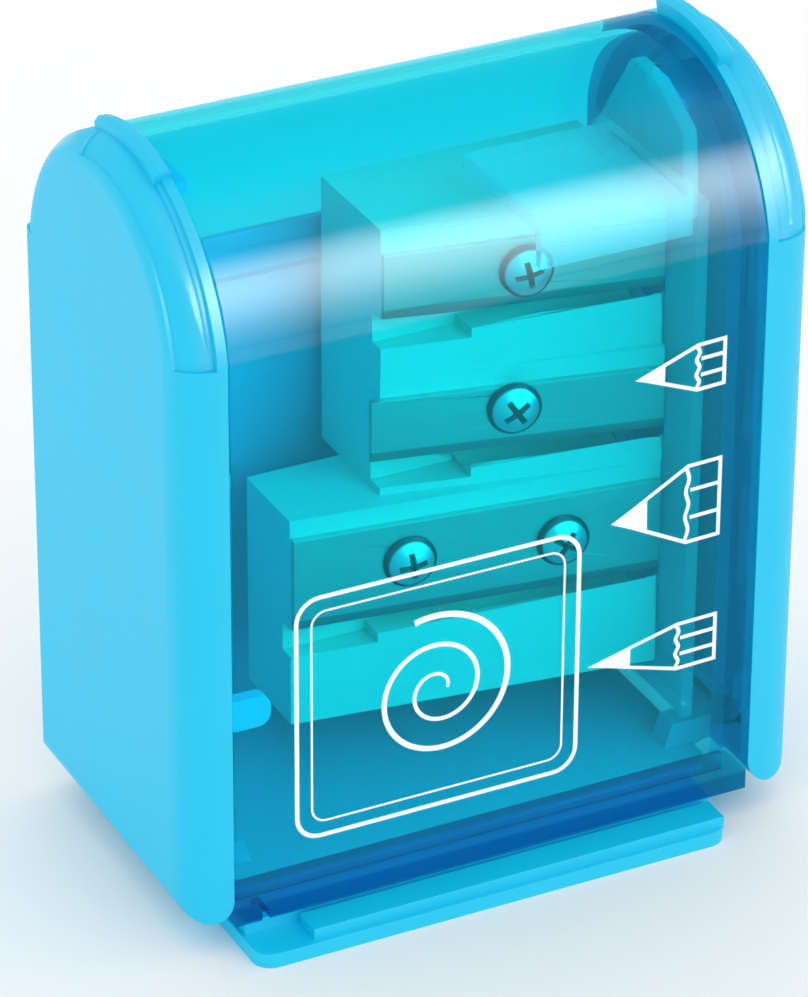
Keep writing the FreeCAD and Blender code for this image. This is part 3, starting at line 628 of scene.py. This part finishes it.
def badge_mark():
    """A plain double frame round a curled shaving: r(t) = r0 + pitch t / 2 pi."""
    left, right, low, high = BADGE
    inset = (left + BADGE_STEP, right - BADGE_STEP, low + BADGE_STEP, high - BADGE_STEP)
    outer = slab(rounded_frame(*BADGE, 2.2), 0.42, closed=True)
    inner = slab(rounded_frame(*inset, 1.4), 0.2, closed=True)
    turn = np.linspace(0.0, CURL_TURN, 420)
    reach = CURL_START + CURL_PITCH * turn / (2 * math.pi)
    across = CURL_CENTRE[0] + reach * np.cos(turn)
    up = CURL_CENTRE[1] + reach * np.sin(turn)
    shaving = slab(np.stack([across, up], axis=1), np.linspace(0.3, 0.6, len(turn)))
    return print_piece("badge_print", [outer, inner, shaving])


pencil_mark("standard_pencil_print", (12.6, 46.8), 21.2, 44.3, 48.6, 0.35)
pencil_mark("jumbo_pencil_print", (10.6, 33.35), 21.15, 29.5, 37.0, 0.35)
pencil_mark("long_pencil_print", (8.7, 19.6), 21.2, 16.9, 21.4, 0.35)
badge_mark()

# ---------------------------------------------------------------- stage

# brightness of the room as light, of the room in reflections, and of the softbox
ROOM_LIGHT = 1.1
ROOM_MIRRORED = 0.5
SOFTBOX_GLOW = 10.0
# light paths through all the clear walls
BOUNCES = 24


def make_stage():
    """A white table that runs on behind the object."""
    size = 3.0
    mesh = bpy.data.meshes.new("table_top")
    corners = [(-size, -size, 0), (size, -size, 0), (size, size, 0), (-size, size, 0)]
    mesh.from_pydata(corners, [], [(0, 1, 2, 3)])
    table = bpy.data.objects.new("table_top", mesh)
    bpy.context.collection.objects.link(table)
    made, _, shader = new_material("pale_table")
    shader.inputs["Base Color"].default_value = (0.93, 0.93, 0.93, 1.0)
    shader.inputs["Roughness"].default_value = 0.7
    mesh.materials.append(made)


def make_softbox():
    """A large softbox at the front right, brightest a little above its middle.

    It is only there to be mirrored: the even room lights the object.
    """
    size = 0.72
    away = 0.70
    toward = Vector((0.392, -0.84, 0.375)).normalized()
    half = size / 2
    mesh = bpy.data.meshes.new("front_softbox")
    corners = [(-half, -half, 0), (half, -half, 0), (half, half, 0), (-half, half, 0)]
    mesh.from_pydata(corners, [], [(0, 1, 2, 3)])
    panel = bpy.data.objects.new("front_softbox", mesh)
    facing = toward.to_track_quat("Z", "Y").to_matrix().to_4x4()
    panel.matrix_world = Matrix.Translation(Vector((0, 0, 0.06)) + toward * away) @ facing
    bpy.context.collection.objects.link(panel)
    made = bpy.data.materials.new("softbox_glow")
    made.use_nodes = True
    tree = made.node_tree
    tree.nodes.remove(tree.nodes["Principled BSDF"])
    place = add(tree, "TexCoord").outputs["Object"]
    split = tree.nodes.new("ShaderNodeSeparateXYZ")
    link(tree, place, split.inputs[0])
    share = maths(tree, "MULTIPLY_ADD", split.outputs["Y"], 1 / size, 0.5)
    fade = tree.nodes.new("ShaderNodeValToRGB")
    fade.color_ramp.interpolation = "B_SPLINE"
    stops = fade.color_ramp.elements
    stops[0].position, stops[0].color = 0.0, (0, 0, 0, 1)
    stops[1].position, stops[1].color = 1.0, (0, 0, 0, 1)
    for position, level in ((0.3, 0.3), (0.55, 1.0), (0.72, 1.0), (0.88, 0.4)):
        stop = stops.new(position)
        stop.color = (level, level, level, 1)
    link(tree, share, fade.inputs[0])
    glow = tree.nodes.new("ShaderNodeEmission")
    link(tree, fade.outputs["Color"], glow.inputs["Color"])
    glow.inputs["Strength"].default_value = SOFTBOX_GLOW
    link(tree, glow.outputs[0], tree.nodes["Material Output"].inputs["Surface"])
    mesh.materials.append(made)
    panel.visible_camera = False
    panel.visible_diffuse = False
    panel.visible_shadow = False


def make_light():
    """An even white room, weaker where it is mirrored, and the softbox."""
    world = bpy.data.worlds.new("white_room")
    world.use_nodes = True
    tree = world.node_tree
    background = tree.nodes["Background"]
    background.inputs["Color"].default_value = (1, 1, 1, 1)
    path = tree.nodes.new("ShaderNodeLightPath")
    opaque = maths(tree, "SUBTRACT", 1.0, path.outputs["Is Transmission Ray"])
    mirrored = maths(tree, "MULTIPLY", path.outputs["Is Glossy Ray"], opaque)
    drop = ROOM_MIRRORED - ROOM_LIGHT
    level = maths(tree, "MULTIPLY_ADD", mirrored, drop, ROOM_LIGHT)
    link(tree, level, background.inputs["Strength"])
    bpy.context.scene.world = world
    make_softbox()


CAMERA_PLACE = (-0.19174, -0.37771, 0.27234)
CAMERA_TARGET = (-0.0011, 0.0, 0.03068)
CAMERA_ROLL = 0.29
CAMERA_LENS = 202.5


def make_camera():
    """A long lens looking down at the front left."""
    data = bpy.data.cameras.new("camera")
    data.lens = CAMERA_LENS
    data.sensor_width = 36.0
    data.clip_start = 0.01
    camera = bpy.data.objects.new("camera", data)
    look = (Vector(CAMERA_TARGET) - Vector(CAMERA_PLACE)).to_track_quat("-Z", "Y").to_matrix().to_4x4()
    roll = Matrix.Rotation(math.radians(CAMERA_ROLL), 4, "Z")
    camera.matrix_world = Matrix.Translation(CAMERA_PLACE) @ look @ roll
    bpy.context.collection.objects.link(camera)
    bpy.context.scene.camera = camera


make_stage()
make_light()
make_camera()
bpy.context.scene.view_settings.view_transform = "Standard"
bpy.context.scene.cycles.max_bounces = BOUNCES
bpy.context.scene.cycles.transmission_bounces = BOUNCES
bpy.context.scene.cycles.transparent_max_bounces = BOUNCES
